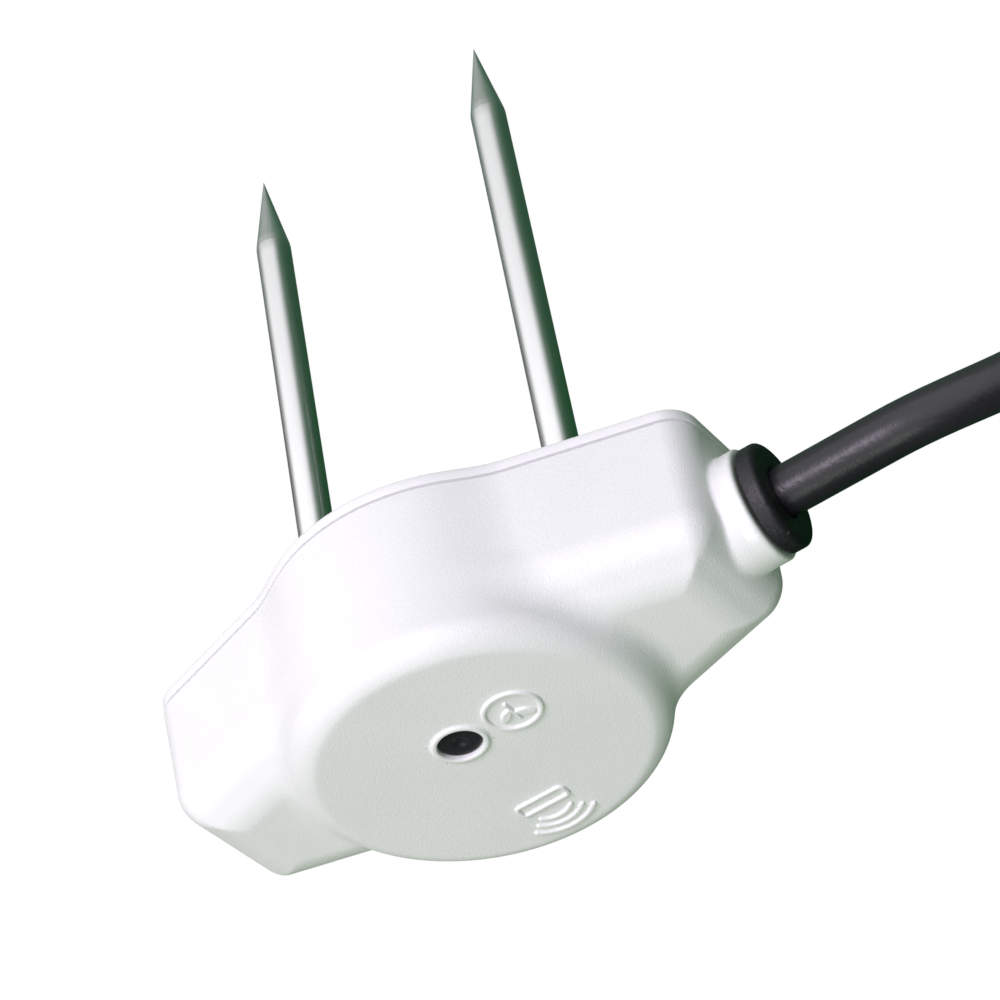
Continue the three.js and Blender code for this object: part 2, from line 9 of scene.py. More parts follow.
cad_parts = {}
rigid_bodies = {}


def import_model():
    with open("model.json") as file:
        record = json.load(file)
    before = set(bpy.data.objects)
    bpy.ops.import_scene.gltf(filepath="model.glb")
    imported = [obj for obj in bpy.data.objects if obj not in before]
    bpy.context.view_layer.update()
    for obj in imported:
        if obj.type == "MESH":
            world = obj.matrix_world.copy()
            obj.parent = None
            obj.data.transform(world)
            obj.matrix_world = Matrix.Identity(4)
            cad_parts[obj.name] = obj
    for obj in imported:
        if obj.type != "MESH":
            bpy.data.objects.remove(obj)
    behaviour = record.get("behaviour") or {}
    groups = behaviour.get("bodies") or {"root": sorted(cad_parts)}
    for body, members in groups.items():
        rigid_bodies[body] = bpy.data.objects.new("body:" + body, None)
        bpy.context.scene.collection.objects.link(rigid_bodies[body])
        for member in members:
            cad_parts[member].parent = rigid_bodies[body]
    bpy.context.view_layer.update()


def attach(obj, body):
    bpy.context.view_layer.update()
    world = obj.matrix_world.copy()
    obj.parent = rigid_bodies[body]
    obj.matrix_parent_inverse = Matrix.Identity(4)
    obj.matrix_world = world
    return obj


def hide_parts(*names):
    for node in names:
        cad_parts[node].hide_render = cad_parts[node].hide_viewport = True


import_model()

scene = bpy.context.scene

# ---------------------------------------------------------------- dimensions, mm from the hub axis
ORIGIN_X = 2.5
HUB_R = 20.0
WING_X = 33.0
WING_LEFT = 32.5
WING_TAPER = 0.3138
WING_D = 18.41
CORNER_R = 3.9
FACE_Z = 0.3
WING_Z = 3.3
HUB_DRAFT = 0.04
WING_DRAFT = 0.05
# bevels: width and height, radius of the fold above and of the crease at the flat face
HUB_BEVEL = (2.19, 1.2, 1.5, 0.25)
WING_BEVEL = (4.5, 2.9, 2.0, 0.8)
# hollow between hub and wings: its size below BLEND_Z, and how much it shrinks over BLEND_RISE
BLEND_K = 2.2
BLEND_LESS = 1.0
BLEND_Z = 6.0
BLEND_RISE = 5.0
WALL = 2.4
SHELL_STEP = 0.32      # grid of the shell's skin
PART_Z = 19.2
COVER_Z = 19.5
COVER_TOP = 20.9
COVER_EDGE = 0.5
ROD_X = 15.3
ROD_R = 2.0
ROD_TIP_Z = 93.4
ROD_CONE = 11.2
BUSH_HOLE_R = 3.6
BUSH_RI = 2.02
BUSH_RO = 3.4
BUSH_Z = 17.8
BTN = (-0.3, -3.9)
BTN_SINK = 0.12        # how far the button's rim lies below the round face
BTN_HOLE_R = 2.95
SEAL = (6.4, -4.6)
SEAL_R = 2.83
MARK_H = 0.302
MARK_SINK = 0.012      # the marks' edges end this far inside the skin
MARK_STEP = 0.06
GLAND_Z = 11.8
GLAND_R = 6.05
GLAND_X = 35.2
GLAND_GLOSS_X = 33.55  # the gland's boss is smoother from here on
GROMMET_X0 = 35.45
GROMMET_X1 = 37.5
GROMMET_R = 5.65
CABLE_R = 2.6
LEAD_X0 = 36.3
LEAD_X1 = 49.0
LEAD_REACH = 11        # how stiffly the lead bends from its exit and into the coil
COIL_X, COIL_Y = 97.5, 16.5
COIL_RO = 33.8         # centreline radius of the outermost turn
COIL_TURN = 5.3        # distance between neighbouring turns
COIL_WRAPS = 2.762     # turns in each layer
COIL_LAYERS = 3
COIL_START = -2.18     # where the lead joins the coil, radians
COIL_Z0 = 1.1          # underside of the lowest layer, on its ties
COIL_TOP = COIL_Z0 + 2 * COIL_LAYERS * CABLE_R + 0.1
COIL_INNER = COIL_RO - COIL_WRAPS * COIL_TURN
COIL_END = COIL_START + COIL_LAYERS * COIL_WRAPS * 2 * math.pi
STEPS_PER_TURN = 44
HOLD = math.pi / 3     # angle over which the cable climbs to the next layer
RISE = 2.0             # and over which its end rises to the plug
TAIL = 4.0             # straight cable before the plug
PLUG_R = 4.2
PLUG_Z = COIL_TOP + 0.3 + PLUG_R
TIE_ANGLES = [("left", 2.79), ("right", 1.13)]
TIE_CORNER = 2.2
SCREWS = [(26, 6.6), (26, -6.6), (-26, 6.6), (-26, -6.6)]
CROSS_L = 1.15
CROSS_W = 0.2
SENSOR = "sensor"
BUTTON = "button"


def row(points):
    """Points in mm from the hub axis, as metres in the row frame."""
    p = np.asarray(points, float).reshape(-1, 3).copy()
    p[:, 0] -= ORIGIN_X
    return p * 0.001


def ease(t):
    return t * t * (3 - 2 * t)


# ---------------------------------------------------------------- camera
def make_camera():
    """Looks up at the round face from below the gland end."""
    data = bpy.data.cameras.new("camera")
    data.lens = 117.668
    data.sensor_width = 36.0
    data.clip_start, data.clip_end = 0.01, 20
    cam = bpy.data.objects.new("camera", data)
    scene.collection.objects.link(cam)
    right = Vector((0.81155, 0.564532, -0.150634))
    down = Vector((-0.46567, 0.469221, -0.750322))
    ahead = Vector((-0.3529, 0.679069, 0.643682))
    place = row([(125.833, -228.309, -186.782)])[0]
    turn = Matrix((right, -down, -ahead)).transposed().to_4x4()
    cam.matrix_world = Matrix.Translation(place) @ turn
    scene.camera = cam


make_camera()


# ---------------------------------------------------------------- materials
def new_material(name):
    mat = bpy.data.materials.new(name)
    mat.use_nodes = True
    return mat, mat.node_tree, mat.node_tree.nodes["Principled BSDF"]


def noise(tree, scale, detail=3.0, rough=0.5, stretch=None, seed=0.0):
    """A noise texture on the object's own coordinates; scale in features per metre."""
    coord = tree.nodes.new("ShaderNodeTexCoord")
    source = coord.outputs["Object"]
    mapping = tree.nodes.new("ShaderNodeMapping")
    mapping.inputs["Location"].default_value = (seed, seed * 1.7, seed * 0.3)
    mapping.inputs["Scale"].default_value = stretch or (1, 1, 1)
    tree.links.new(source, mapping.inputs["Vector"])
    tex = tree.nodes.new("ShaderNodeTexNoise")
    tex.inputs["Scale"].default_value = scale
    tex.inputs["Detail"].default_value = detail
    tex.inputs["Roughness"].default_value = rough
    tree.links.new(mapping.outputs["Vector"], tex.inputs["Vector"])
    return tex.outputs["Fac"]


def ramp(tree, fac, stops):
    """A colour ramp over a value, from (position, colour) pairs."""
    node = tree.nodes.new("ShaderNodeValToRGB")
    band = node.color_ramp
    while len(band.elements) < len(stops):
        band.elements.new(0.5)
    for element, (pos, colour) in zip(band.elements, stops):
        element.position = pos
        element.color = (*colour, 1)
    tree.links.new(fac, node.inputs["Fac"])
    return node.outputs["Color"]


def span(tree, fac, low, high, lo_in=0.3, hi_in=0.7):
    """The value between lo_in and hi_in, stretched to low and high."""
    node = tree.nodes.new("ShaderNodeMapRange")
    node.inputs["From Min"].default_value = lo_in
    node.inputs["From Max"].default_value = hi_in
    node.inputs["To Min"].default_value = low
    node.inputs["To Max"].default_value = high
    tree.links.new(fac, node.inputs["Value"])
    return node.outputs["Result"]


def bump(tree, shader, height, depth):
    node = tree.nodes.new("ShaderNodeBump")
    node.inputs["Strength"].default_value = 1.0
    node.inputs["Distance"].default_value = depth
    tree.links.new(height, node.inputs["Height"])
    tree.links.new(node.outputs["Normal"], shader.inputs["Normal"])


def finish_material(name, low, high, rough, grain, depth, metal=0.0, coarse=90.0, stretch=None,
                    specular=0.5, speck=None):
    """Colour between low and high in soft clouds, roughness that follows a finer noise, a grain
    of that noise, and lighter specks where speck gives their (scale, threshold, colour)."""
    mat, tree, shader = new_material(name)
    clouds = noise(tree, coarse, 4.0, 0.6, stretch)
    colour = ramp(tree, clouds, [(0.32, low), (0.68, high)])
    if speck is not None:
        scale, threshold, light = speck
        dots = noise(tree, scale, 1.0, 0.4, None, 3.1)
        mask = span(tree, dots, 0.0, 1.0, threshold, threshold + 0.04)
        mix = tree.nodes.new("ShaderNodeMix")
        mix.data_type = "RGBA"
        tree.links.new(mask, mix.inputs["Factor"])
        tree.links.new(colour, mix.inputs["A"])
        mix.inputs["B"].default_value = (*light, 1)
        colour = mix.outputs["Result"]
    tree.links.new(colour, shader.inputs["Base Color"])
    fine = noise(tree, grain, 2.0, 0.55, stretch, 1.3)
    tree.links.new(span(tree, fine, rough[0], rough[1]), shader.inputs["Roughness"])
    bump(tree, shader, fine, depth)
    shader.inputs["Metallic"].default_value = metal
    shader.inputs["Specular IOR Level"].default_value = specular
    return mat


SHELL = finish_material("shell_plastic", (0.80, 0.815, 0.80), (0.84, 0.85, 0.84), (0.4, 0.52),
                        5200.0, 0.00005, coarse=60.0)
GLOSS = finish_material("gland_boss_plastic", (0.83, 0.845, 0.83), (0.86, 0.87, 0.86), (0.2, 0.3),
                        900.0, 0.00002, coarse=80.0)
COVER = finish_material("cover_plastic", (0.83, 0.835, 0.835), (0.86, 0.865, 0.865), (0.36, 0.46),
                        2600.0, 0.00002, coarse=70.0)
STEEL = finish_material("rod_steel", (0.58, 0.58, 0.575), (0.66, 0.66, 0.655), (0.29, 0.36),
                        2600.0, 0.0000015, metal=1.0, coarse=260.0, stretch=(1, 1, 0.05))
SCREW = finish_material("screw_steel", (0.48, 0.48, 0.48), (0.6, 0.6, 0.6), (0.25, 0.4),
                        2500.0, 0.00001, metal=1.0)
RUBBER = finish_material("rubber_black", (0.005, 0.0052, 0.006), (0.011, 0.0113, 0.013),
                         (0.42, 0.6), 2200.0, 0.00005, specular=0.3,
                         speck=(1500.0, 0.70, (0.06, 0.06, 0.065)))
SHEATH = finish_material("cable_sheath", (0.009, 0.0093, 0.011), (0.016, 0.0164, 0.019),
                         (0.3, 0.4), 2600.0, 0.00003, specular=0.3)
BUTTON_MAT = finish_material("button_black", (0.01, 0.0105, 0.012), (0.018, 0.0185, 0.021),
                             (0.34, 0.46), 3000.0, 0.00001, specular=0.25)
TIE = finish_material("tie_black", (0.012, 0.0125, 0.014), (0.028, 0.029, 0.032), (0.75, 0.95),
                      4200.0, 0.00018)
PLUG = finish_material("plug_black", (0.014, 0.0145, 0.016), (0.024, 0.0245, 0.027), (0.4, 0.55),
                       2600.0, 0.00003)
GOLD = finish_material("plug_metal", (0.66, 0.5, 0.26), (0.76, 0.6, 0.34), (0.14, 0.26),
                       1600.0, 0.000006, metal=1.0)
SPACER = finish_material("plug_spacer", (0.01, 0.01, 0.01), (0.02, 0.02, 0.02), (0.35, 0.5),
                         2600.0, 0.00001)


# ---------------------------------------------------------------- mesh helpers
def make_piece(name, verts, faces, material, body, smooth=True, sharp=None):
    """A mesh from mm points; sharp is the angle in degrees above which an edge stays crisp."""
    mesh = bpy.data.meshes.new(name)
    mesh.from_pydata([tuple(p) for p in row(verts)], [], [list(map(int, f)) for f in faces])
    mesh.validate()
    mesh.update()
    obj = bpy.data.objects.new(name, mesh)
    scene.collection.objects.link(obj)
    mesh.materials.append(material)
    if smooth:
        mesh.shade_smooth()
        if sharp is not None:
            mesh.set_sharp_from_angle(angle=math.radians(sharp))
    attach(obj, body)
    return obj


def lathe(profile, segments=96):
    """Points and faces of a turned surface about +Z from (radius, height) pairs."""
    verts, faces, rings = [], [], []
    for r, z in profile:
        if r < 1e-6:
            rings.append([len(verts)])
            verts.append((0, 0, z))
            continue
        rings.append(list(range(len(verts), len(verts) + segments)))
        for i in range(segments):
            a = 2 * math.pi * i / segments
            verts.append((r * math.cos(a), r * math.sin(a), z))
    for a, b in zip(rings, rings[1:]):
        for i in range(segments):
            j = (i + 1) % segments
            if len(a) == 1 and len(b) == 1:
                continue
            if len(a) == 1:
                faces.append((a[0], b[j], b[i]))
            elif len(b) == 1:
                faces.append((a[i], a[j], b[0]))
            else:
                faces.append((a[i], a[j], b[j], b[i]))
    return np.array(verts), faces


def along_x(points):
    """Points of a piece turned about +Z, laid along the gland's axis."""
    p = np.asarray(points)
    return np.stack([p[:, 2], p[:, 1], -p[:, 0] + GLAND_Z], 1)


def rounded(profile, radius, steps=4):
    """The profile with each inner point rounded: entries are (r, z) or (r, z, own radius)."""
    out = [tuple(profile[0][:2])]
    for before, here, after in zip(profile, profile[1:], profile[2:]):
        own = here[2] if len(here) > 2 else radius
        p, a, b = (np.array(q[:2], float) for q in (here, before, after))
        u, v = a - p, b - p
        lu, lv = np.linalg.norm(u), np.linalg.norm(v)
        cut = min(own, 0.48 * lu, 0.48 * lv)
        if cut < 1e-4:
            out.append(tuple(p))
            continue
        start, end = p + u / lu * cut, p + v / lv * cut
        for i in range(steps + 1):
            t = i / steps
            out.append(tuple((1 - t) ** 2 * start + 2 * t * (1 - t) * p + t * t * end))
    out.append(tuple(profile[-1][:2]))
    return out


# ---------------------------------------------------------------- housing as a distance field
def convex(p, corners):
    """Signed distance in the plane to a convex polygon, its corners counter-clockwise."""
    best = np.full(len(p), 1e9)
    inside = np.ones(len(p), bool)
    for a, b in zip(corners, corners[1:] + corners[:1]):
        a, edge = np.array(a), np.array(b) - np.array(a)
        w = p - a
        t = np.clip(w @ edge / (edge @ edge), 0, 1)
        gap = w - t[:, None] * edge
        best = np.minimum(best, (gap ** 2).sum(1))
        inside &= edge[0] * w[:, 1] - edge[1] * w[:, 0] >= 0
    return np.sqrt(best) * np.where(inside, -1, 1)


def wing_plan(xy):
    """Distance to the plan of the two wings, without the hub."""
    nx, ny = math.sin(WING_TAPER), math.cos(WING_TAPER)
    p = np.stack([np.abs(xy[:, 0]), xy[:, 1]], 1)
    root = 6.0    # the sides start inside the hub

    def one(end):
        x = end - CORNER_R
        y = (WING_D - CORNER_R - nx * x) / ny
        y0 = (WING_D - CORNER_R - nx * root) / ny
        return convex(p, [(root, -y0), (x, -y), (x, y), (root, y0)]) - CORNER_R

    return np.where(xy[:, 0] > 0, one(WING_X), one(WING_LEFT))


def round_join(a, b, r):
    """Intersection of two fields with a rounded edge."""
    qa, qb = a + r, b + r
    out = np.sqrt(np.maximum(qa, 0) ** 2 + np.maximum(qb, 0) ** 2)
    return np.minimum(np.maximum(qa, qb), 0) + out - r


def bevelled(wall, face, width, height, fold, crease):
    """A wall and a flat face joined by a bevel, with a soft fold above it and a crease below."""
    bevel = ((wall + width) * height + face * width) / math.hypot(width, height)
    return round_join(round_join(wall, bevel, fold), face, crease)


def soft_union(a, b, k):
    """Union of two fields with a hollow of about k where they meet."""
    h = np.clip(0.5 + 0.5 * (b - a) / k, 0, 1)
    return b + (a - b) * h - k * h * (1 - h)


def housing(p):
    """Signed distance to the housing's outer form, open upwards."""
    z = p[:, 2]
    wall = np.hypot(p[:, 0], p[:, 1]) - HUB_R + HUB_DRAFT * (PART_Z - z)
    hub = bevelled(wall, FACE_Z - z, *HUB_BEVEL)
    plan = wing_plan(p[:, :2]) + WING_DRAFT * (PART_Z - z)
    wings = bevelled(plan, WING_Z - z, *WING_BEVEL)
    k = BLEND_K - BLEND_LESS * ease(np.clip((z - BLEND_Z) / BLEND_RISE, 0, 1))
    body = soft_union(hub, wings, k)
    across = np.hypot(p[:, 1], z - GLAND_Z) - GLAND_R
    boss = round_join(across, np.abs(p[:, 0] - GLAND_X + 5) - 5, 0.35)
    return soft_union(body, boss, 0.4)


def slope(field, p, h=0.01):
    """Unit gradient of a field at each point."""
    g = np.empty_like(p)
    for i in range(3):
        step = np.zeros(3)
        step[i] = h
        g[:, i] = field(p + step) - field(p - step)
    return g / np.linalg.norm(g, axis=1, keepdims=True)


def surface_nets(field, low, high, step):
    """Quads round the zero of a field on a regular grid, then pulled onto the zero itself."""
    axes = [np.arange(a, b + step, step) for a, b in zip(low, high)]
    grid = np.stack(np.meshgrid(*axes, indexing="ij"), -1)
    value = field(grid.reshape(-1, 3)).reshape(grid.shape[:3])
    inside = value < 0
    cells = tuple(n - 1 for n in value.shape)
    total = np.zeros((*cells, 3))
    count = np.zeros(cells)
    quads = []
    for axis in range(3):
        lower, upper = [slice(None)] * 3, [slice(None)] * 3
        lower[axis], upper[axis] = slice(0, -1), slice(1, None)
        va, vb = value[tuple(lower)], value[tuple(upper)]
        at = np.argwhere(inside[tuple(lower)] != inside[tuple(upper)])
        u, v = (axis + 1) % 3, (axis + 2) % 3
        keep = (at[:, u] > 0) & (at[:, v] > 0) & (at[:, u] < cells[u]) & (at[:, v] < cells[v])
        at = at[keep]
        a, b = va[tuple(at.T)], vb[tuple(at.T)]
        point = at.astype(float)
        point[:, axis] += a / (a - b)
        around = []
        for du, dv in ((-1, -1), (0, -1), (0, 0), (-1, 0)):
            cell = at.copy()
            cell[:, u] += du
            cell[:, v] += dv
            np.add.at(total, tuple(cell.T), point)
            np.add.at(count, tuple(cell.T), 1)
            around.append(np.ravel_multi_index(tuple(cell.T), cells))
        quad = np.stack(around, 1)
        quads.append(np.where((a < 0)[:, None], quad, quad[:, ::-1]))
    quads = np.concatenate(quads)
    used, index = np.unique(quads, return_inverse=True)
    centre = total.reshape(-1, 3)[used] / count.reshape(-1, 1)[used]
    p = np.array(low) + centre * step
    for _ in range(3):
        p -= slope(field, p) * field(p)[:, None]
    return p, index.reshape(quads.shape)


def make_shell():
    """The housing's skin, cut at the rim and turned inwards there, with the button's hole."""
    pad = 0.9
    low = (-WING_LEFT - pad, -HUB_R - pad, FACE_Z - pad)
    high = (GLAND_X + pad, HUB_R + pad, PART_Z + 1.2)
    verts, faces = surface_nets(housing, low, high, SHELL_STEP)
    # the edge of the button's hole lies under the raised ring
    reach = np.hypot(verts[:, 0] - BTN[0], verts[:, 1] - BTN[1])
    hole = (reach < BTN_HOLE_R) & (verts[:, 2] < 2)
    faces = faces[~hole[faces].any(1)]
    bm = bmesh.new()
    made = [bm.verts.new(p) for p in verts]
    for f in faces:
        bm.faces.new([made[i] for i in f])
    cut = bmesh.ops.bisect_plane(bm, geom=[*bm.verts, *bm.edges, *bm.faces], dist=1e-5,
                                 plane_co=(0, 0, PART_Z - 0.1), plane_no=(0, 0, 1),
                                 clear_outer=True)
    rim = [e for e in cut["geom_cut"] if isinstance(e, bmesh.types.BMEdge)]
    edges = rim
    points = list({v for e in rim for v in e.verts})
    base = {v: np.array(v.co) for v in points}
    inward = {}
    normal = slope(housing, np.array([base[v] for v in points]))
    for v, n in zip(points, normal):
        flat = np.array([n[0], n[1], 0.0])
        inward[v] = -flat / np.linalg.norm(flat)
    origin = {v: v for v in points}
    for inset, z in ((0.03, PART_Z - 0.03), (0.1, PART_Z), (WALL, PART_Z), (WALL, 15.0)):
        out = bmesh.ops.extrude_edge_only(bm, edges=edges)["geom"]
        fresh = [g for g in out if isinstance(g, bmesh.types.BMVert)]
        step = {}
        for v in fresh:
            near = [e.other_vert(v) for e in v.link_edges if e.other_vert(v) in origin]
            step[v] = origin[near[0]]
            spot = base[step[v]] + inward[step[v]] * inset
            v.co = (spot[0], spot[1], z)
        origin = step
        edges = [g for g in out if isinstance(g, bmesh.types.BMEdge)
                 and all(v in step for v in g.verts)]
    bmesh.ops.recalc_face_normals(bm, faces=bm.faces)
    bm.verts.ensure_lookup_table()
    bm.verts.index_update()
    p = np.array([v.co for v in bm.verts])
    quads = [[v.index for v in f.verts] for f in bm.faces]
    bm.free()
    obj = make_piece("shell_skin", p, quads, SHELL, SENSOR, sharp=50)
    obj.data.materials.append(GLOSS)
    for face in obj.data.polygons:
        centre = face.center * 1000
        if centre.x + ORIGIN_X > GLAND_GLOSS_X:
            face.material_index = 1
    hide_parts("housing_shell")


make_shell()


# ---------------------------------------------------------------- outline of the rim
def plan_loop(count=720):
    """Points and outward normals round the housing at the parting plane, evenly spaced."""
    def reach(angle):
        low, high = np.full(len(angle), 10.0), np.full(len(angle), 40.0)
        heading = np.stack([np.cos(angle), np.sin(angle)], 1)
        for _ in range(40):
            mid = (low + high) / 2
            p = np.column_stack([heading * mid[:, None], np.full(len(angle), PART_Z)])
            inside = housing(p) < 0
            low, high = np.where(inside, mid, low), np.where(inside, high, mid)
        return heading * low[:, None]

    dense = np.linspace(0, 2 * np.pi, 6001)
    p = reach(dense)
    run = np.concatenate([[0], np.cumsum(np.linalg.norm(np.diff(p, axis=0), axis=1))])
    angle = np.interp(np.linspace(0, run[-1], count, endpoint=False), run, dense)
    p = reach(angle)
    n = slope(housing, np.column_stack([p, np.full(count, PART_Z)]))[:, :2]
    return p, n / np.linalg.norm(n, axis=1, keepdims=True)


LOOP, LOOP_N = plan_loop()


def boolean(obj, cutters):
    """Cut the pieces out of the object, then drop them."""
    for cutter in cutters:
        mod = obj.modifiers.new("cut", "BOOLEAN")
        mod.operation = "DIFFERENCE"
        mod.solver = "EXACT"
        mod.object = cutter
    dg = bpy.context.evaluated_depsgraph_get()
    mesh = bpy.data.meshes.new_from_object(obj.evaluated_get(dg))
    obj.modifiers.clear()
    obj.data = mesh
    for cutter in cutters:
        bpy.data.objects.remove(cutter)


def cutter_piece(name, verts, faces):
    mesh = bpy.data.meshes.new(name)
    mesh.from_pydata([tuple(p) for p in row(verts)], [], faces)
    obj = bpy.data.objects.new(name, mesh)
    scene.collection.objects.link(obj)
    return obj


def make_cover():
    """The cover's plate with its rolled edge, holes for the rods' bushes and sunk screw seats."""
    levels = [(0.12, COVER_Z), (0.04, COVER_Z + 0.03), (0.0, COVER_Z + 0.12)]
    for i in range(7):
        a = i / 6 * math.pi / 2
        levels.append((COVER_EDGE * (1 - math.cos(a)), COVER_TOP - COVER_EDGE * (1 - math.sin(a))))
    verts, faces = [], []
    n = len(LOOP)
    for inset, z in levels:
        ring = LOOP - LOOP_N * inset
        verts.extend((x, y, z) for x, y in ring)
    for k in range(len(levels) - 1):
        for i in range(n):
            j = (i + 1) % n
            faces.append((k * n + i, k * n + j, (k + 1) * n + j, (k + 1) * n + i))
    faces.append(tuple(range(n))[::-1])
    faces.append(tuple((len(levels) - 1) * n + i for i in range(n)))
    obj = make_piece("cover_skin", np.array(verts), faces, COVER, SENSOR, smooth=False)
    cutters = []
    for x in (-ROD_X, ROD_X):
        p, f = lathe([(0, 10), (BUSH_HOLE_R, 10), (BUSH_HOLE_R, COVER_TOP - 0.15),
                      (BUSH_HOLE_R + 0.15, COVER_TOP), (BUSH_HOLE_R + 0.15, 30), (0, 30)])
        cutters.append(cutter_piece("bush_hole", p + (x, 0, 0), f))
    for x, y in SCREWS:
        p, f = lathe([(0, 10), (1.2, 10), (1.2, 19.5), (2.25, 20.5), (2.25, COVER_TOP - 0.08),
                      (2.35, COVER_TOP + 0.02), (2.35, 30), (0, 30)], 48)
        cutters.append(cutter_piece("screw_hole", p + (x, y, 0), f))
    boolean(obj, cutters)
    obj.data.shade_smooth()
    obj.data.set_sharp_from_angle(angle=math.radians(35))
    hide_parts("probe_cover")


make_cover()


# ---------------------------------------------------------------- rods, bushes and screws
def make_rods():
    """Two steel rods with a sharp cone and a slightly worn shoulder, each in a rubber bush."""
    for side, x in (("left", -ROD_X), ("right", ROD_X)):
        shoulder = ROD_TIP_Z - ROD_CONE
        profile = [(ROD_R, 16.2)]
        profile += [(ROD_R, z) for z in np.linspace(17, shoulder - 0.12, 40)]
        profile += [(ROD_R - 0.008, shoulder - 0.04), (ROD_R - 0.03, shoulder + 0.06)]
        for t in np.linspace(0.03, 0.985, 14):
            profile.append((ROD_R * (1 - t) + 0.02, shoulder + ROD_CONE * t))
        profile += [(0.03, ROD_TIP_Z - 0.03), (0, ROD_TIP_Z)]
        p, f = lathe(profile, 96)
        rod = make_piece(f"rod_{side}", p + (x, 0, 0), f, STEEL, SENSOR)
        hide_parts(f"probe_rod_{side}")
        ring = rounded([(BUSH_RI, BUSH_Z), (BUSH_RI, COVER_TOP - 0.05), (BUSH_RO, COVER_TOP, 0.25),
                        (BUSH_RO, BUSH_Z)], 0.2)
        p, f = lathe(ring[::-1], 96)
        bush = make_piece(f"bush_{side}", p + (x, 0, 0), f, RUBBER, SENSOR, sharp=40)
        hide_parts(f"rod_bush_{side}")


make_rods()


def make_screws():
    """Countersunk screws with cross recesses, each turned to a different angle."""
    for i, (x, y) in enumerate(SCREWS):
        profile = rounded([(0, 12.4), (0.9, 12.6), (0.9, 19.7), (1.9, 20.62), (1.9, 20.74),
                           (1.2, 20.8), (0, 20.8)], 0.06, 2)
        p, f = lathe(profile, 48)
        screw = make_piece(f"screw_{i + 1}", p + (x, y, 0), f, SCREW, SENSOR, smooth=False)
        turn = 0.4 + 0.7 * i
        cutters = []
        for a in (turn, turn + math.pi / 2):
            ca, sa = math.cos(a), math.sin(a)
            box = []
            for z, taper in ((20.0, 0.35), (21.2, 1.0)):
                for u, v in ((-CROSS_L, -CROSS_W), (CROSS_L, -CROSS_W),
                             (CROSS_L, CROSS_W), (-CROSS_L, CROSS_W)):
                    u, v = u * taper, v * (0.6 + 0.4 * taper)
                    box.append((x + u * ca - v * sa, y + u * sa + v * ca, z))
            sides = [(3, 2, 1, 0), (4, 5, 6, 7), (0, 1, 5, 4), (1, 2, 6, 5), (2, 3, 7, 6),
                     (3, 0, 4, 7)]
            cutters.append(cutter_piece("cross", box, sides))
        boolean(screw, cutters)
        screw.data.shade_smooth()
        screw.data.set_sharp_from_angle(angle=math.radians(35))
        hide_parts(f"cover_screw_{i + 1}")


make_screws()


# ---------------------------------------------------------------- button with its raised ring
def make_button():
    """A black cap with a small dimple, and the shell's raised ring round it."""
    cap_z = FACE_Z + BTN_SINK
    profile = [(0, cap_z + 0.26), (0.25, cap_z + 0.25), (0.5, cap_z + 0.19), (0.68, cap_z + 0.08),
               (0.82, cap_z + 0.015), (1.0, cap_z), (1.8, cap_z), (2.0, cap_z + 0.015),
               (2.12, cap_z + 0.05), (2.19, cap_z + 0.12), (2.21, cap_z + 0.3), (2.21, 3.2),
               (3.5, 3.2), (0, 3.2)]
    p, f = lathe(profile, 96)
    cap = make_piece("button_dome", p + (*BTN, 0), f, BUTTON_MAT, BUTTON, sharp=50)
    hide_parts("button_cap")
    profile = [(3.3, FACE_Z + 0.02), (3.1, FACE_Z - 0.012), (2.98, FACE_Z - 0.06), (2.9, 0.16),
               (2.84, 0.07), (2.76, 0.015), (2.64, 0.0), (2.5, 0.004), (2.41, 0.03),
               (2.34, 0.09), (2.3, 0.2), (2.3, 3.1)]
    p, f = lathe(profile[::-1], 96)
    ring = make_piece("button_ring", p + (*BTN, 0), f, SHELL, SENSOR)


make_button()


# ---------------------------------------------------------------- raised marks on the round face
def emboss(name, field, low, high):
    """A raised mark with soft shoulders on the round face, from a distance field in the plane."""
    x, y = (np.arange(a, b, MARK_STEP) for a, b in zip(low, high))
    grid = np.stack(np.meshgrid(x, y, indexing="ij"), -1)
    rise = ease(np.clip((0.09 - field(grid)) / 0.2, 0, 1))
    height = FACE_Z + MARK_SINK - MARK_H * rise
    verts = np.concatenate([grid, height[..., None]], -1).reshape(-1, 3)
    index = np.arange(len(verts)).reshape(rise.shape)
    faces = np.stack([index[:-1, :-1], index[:-1, 1:], index[1:, 1:], index[1:, :-1]], -1)
    raised = np.maximum.reduce([rise[:-1, :-1], rise[:-1, 1:], rise[1:, 1:], rise[1:, :-1]]) > 0
    faces = faces[raised]
    used, packed = np.unique(faces, return_inverse=True)
    obj = make_piece(name, verts[used], packed.reshape(faces.shape), SHELL, SENSOR)


def stroke(p, a, b, half):
    """Distance to a round-ended line."""
    a, b = np.array(a, float), np.array(b, float)
    t = np.clip((p - a) @ (b - a) / ((b - a) @ (b - a)), 0, 1)
    return np.linalg.norm(p - a - t[..., None] * (b - a), axis=-1) - half


def arc_stroke(p, centre, r, spread, half):
    """Distance to a round-ended arc about the +Y heading."""
    q = p - np.array(centre)
    turn = np.abs(np.arctan2(q[..., 0], q[..., 1]))
    end = np.array([math.sin(spread), math.cos(spread)]) * r
    tip = np.hypot(np.abs(q[..., 0]) - end[0], q[..., 1] - end[1])
    return np.where(turn < spread, np.abs(np.hypot(q[..., 0], q[..., 1]) - r), tip) - half


def frame_stroke(p, centre, wide, tall, round_r, half):
    """Distance to a round-cornered rectangular outline."""
    q = np.abs(p - np.array(centre)) - np.array([wide - round_r, tall - round_r])
    out = np.hypot(*np.moveaxis(np.maximum(q, 0), -1, 0)) + np.minimum(q.max(-1), 0) - round_r
    return np.abs(out) - half


